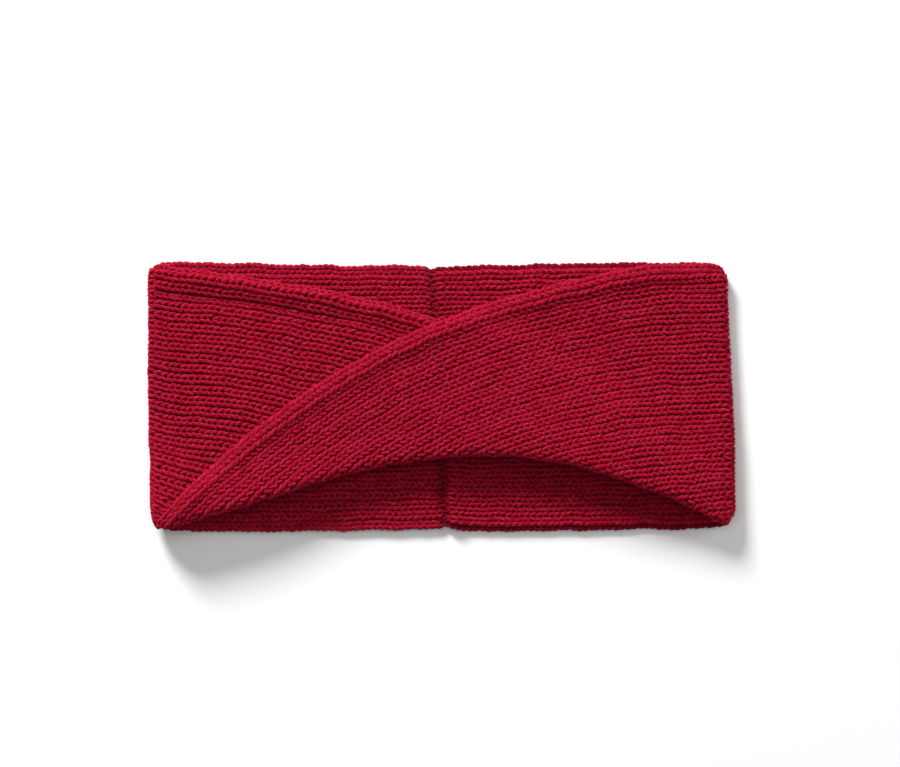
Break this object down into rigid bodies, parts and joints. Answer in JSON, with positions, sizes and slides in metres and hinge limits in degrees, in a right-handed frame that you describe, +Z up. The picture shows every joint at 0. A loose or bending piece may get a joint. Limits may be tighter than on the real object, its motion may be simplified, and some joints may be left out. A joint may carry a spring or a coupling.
{
  "type": "knitted headband",
  "caption": "Wide rib-knit headband with a half twist folded across the front, sewn at the back, lying flat; it opens into a ring for the head.",
  "frame": {"origin": "centre of the underside, on the surface that the band lies on", "axes": "+X from the left fold to the right fold as seen from above, +Y towards the border where the back seam shows above the crossing, +Z up out of the front"},
  "size_m": [0.23, 0.105, 0.0114],
  "materials": {
    "rib_knit": "soft knitted wool, matt with a slight fuzz",
    "seam_knit": "knitted wool turned in at the seam, matt",
    "seam_yarn": "plied wool yarn, matt"
  },
  "bodies": {
    "back_right": {"back_panel_right": "rib_knit", "back_seam": "seam_knit", "seam_yarn": "seam_yarn"},
    "side_back_right": {"back_side_right": "rib_knit"},
    "side_front_right": {"front_side_right": "rib_knit"},
    "twist": {"front_twist": "rib_knit"},
    "side_front_left": {"front_side_left": "rib_knit"},
    "side_back_left": {"back_side_left": "rib_knit"},
    "back_left": {"back_panel_left": "rib_knit"}
  },
  "joints": [
    {"name": "back_right_bend", "type": "hinge", "parent": "back_right", "child": "side_back_right", "pos_m": [0.03833, 0, 0.00375], "axis": [0, -1, 0], "range_deg": [0, 60]},
    {"name": "right_fold", "type": "hinge", "parent": "side_back_right", "child": "side_front_right", "pos_m": [0.115, 0, 0.00375], "axis": [0, 1, 0], "range_deg": [0, 120]},
    {"name": "front_right_bend", "type": "hinge", "parent": "side_front_right", "child": "twist", "pos_m": [0.03833, 0, 0.00375], "axis": [0, -1, 0], "range_deg": [0, 60]},
    {"name": "front_left_bend", "type": "hinge", "parent": "twist", "child": "side_front_left", "pos_m": [-0.03833, 0, 0.00375], "axis": [0, -1, 0], "range_deg": [0, 60]},
    {"name": "left_fold", "type": "hinge", "parent": "side_front_left", "child": "side_back_left", "pos_m": [-0.115, 0, 0.00375], "axis": [0, 1, 0], "range_deg": [0, 120]},
    {"name": "back_left_bend", "type": "hinge", "parent": "side_back_left", "child": "back_left", "pos_m": [-0.03833, 0, 0.00375], "axis": [0, -1, 0], "range_deg": [0, 60]}
  ],
  "couplings": [
    {"joint": "back_right_bend", "follows": "right_fold", "ratio": 0.5},
    {"joint": "front_right_bend", "follows": "right_fold", "ratio": 0.5},
    {"joint": "front_left_bend", "follows": "right_fold", "ratio": 0.5},
    {"joint": "left_fold", "follows": "right_fold", "ratio": 1},
    {"joint": "back_left_bend", "follows": "right_fold", "ratio": 0.5}
  ]
}
